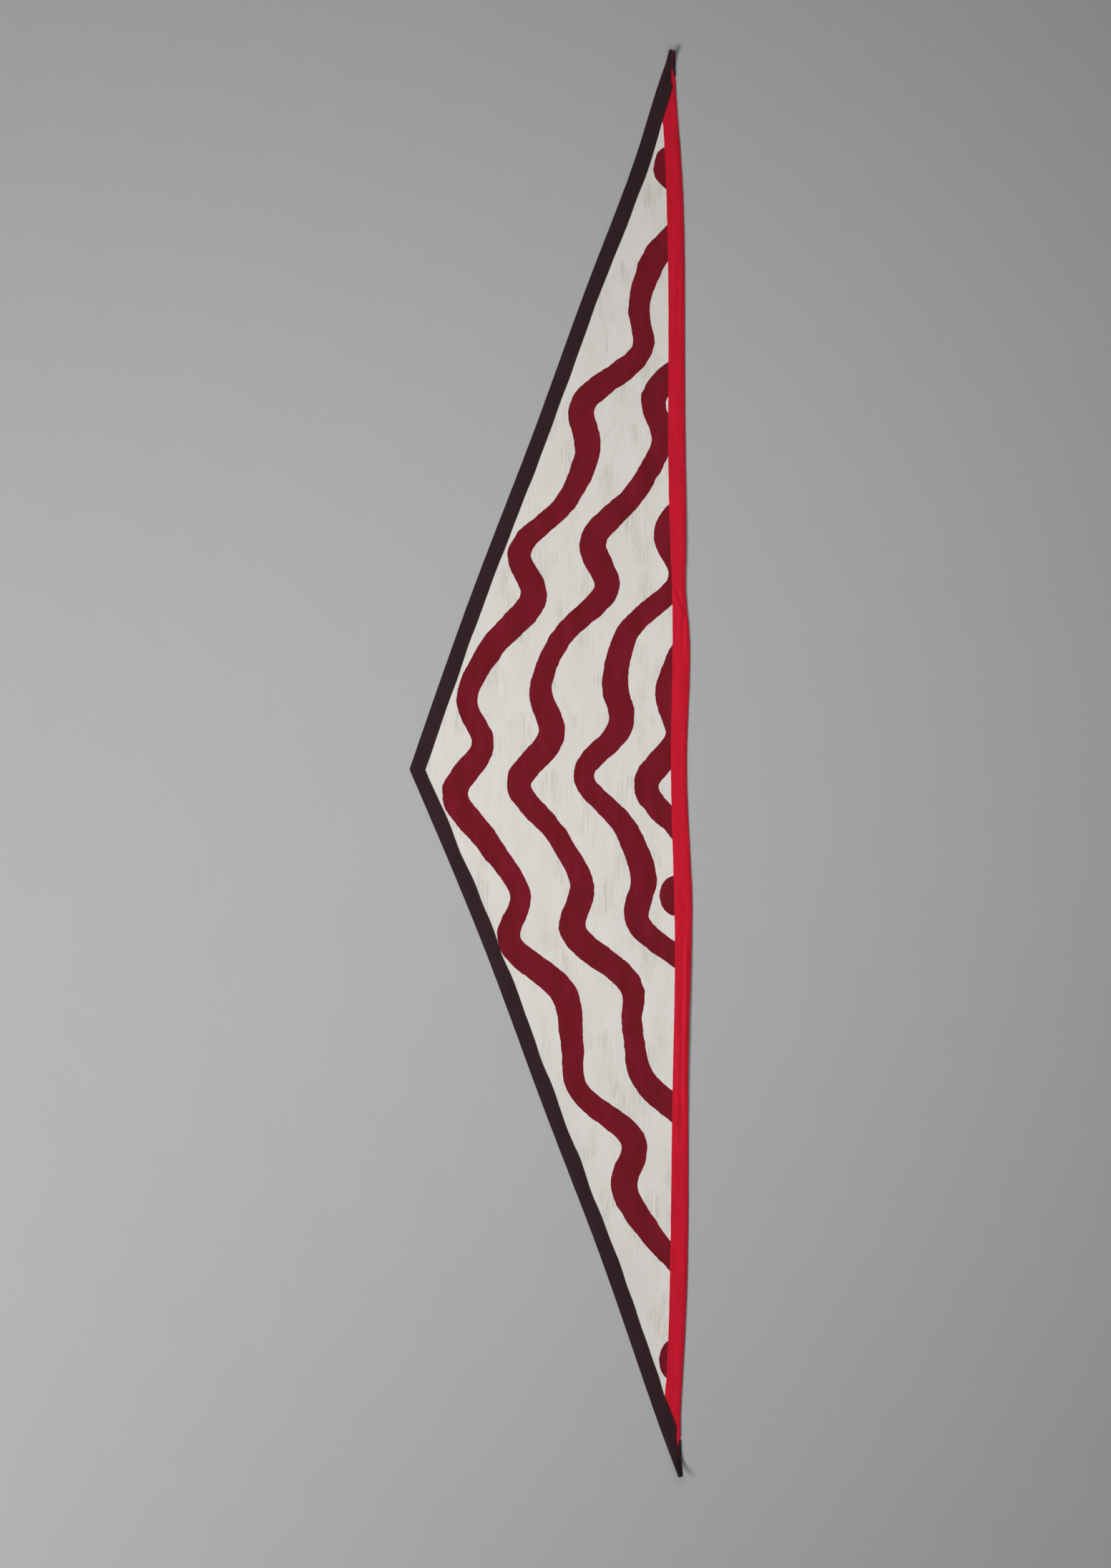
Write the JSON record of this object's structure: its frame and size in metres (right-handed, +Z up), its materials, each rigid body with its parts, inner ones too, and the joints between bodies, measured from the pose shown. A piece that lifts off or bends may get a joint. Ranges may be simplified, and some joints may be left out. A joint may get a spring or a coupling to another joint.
{
  "type": "triangular printed cloth pennant",
  "caption": "Long triangular cloth pennant: off-white ground with wavy burgundy print, brown borders on the short sides and a red binding on the long side.",
  "frame": {"origin": "on the resting surface, under the middle of the outline's bounding box", "axes": "+Y runs tip to tip along the red side, +X points from the brown apex to the red side, +Z points up out of the printed face"},
  "size_m": [0.395, 1.994, 0.018],
  "materials": {
    "ground_cotton": "matte",
    "burgundy_print": "matte",
    "brown_cotton": "matte",
    "red_cotton": "matte",
    "brown_thread": "satin",
    "red_thread": "satin",
    "pale_thread": "satin"
  },
  "bodies": {
    "root": {"ground_cloth": "ground_cotton", "print_outer_band": "burgundy_print", "print_second_band": "burgundy_print", "print_third_band": "burgundy_print", "print_fourth_band": "burgundy_print", "print_edge_spots": "burgundy_print", "upper_border": "brown_cotton", "lower_border": "brown_cotton", "red_binding_upper": "red_cotton", "red_binding_middle": "red_cotton", "red_binding_lower": "red_cotton", "upper_border_stitching": "brown_thread", "lower_border_stitching": "brown_thread", "apex_mitre_stitching": "brown_thread", "bottom_tip_tack": "brown_thread", "red_binding_stitching": "red_thread", "red_join_stitching": "red_thread", "top_tip_tack": "pale_thread"}
  },
  "joints": []
}
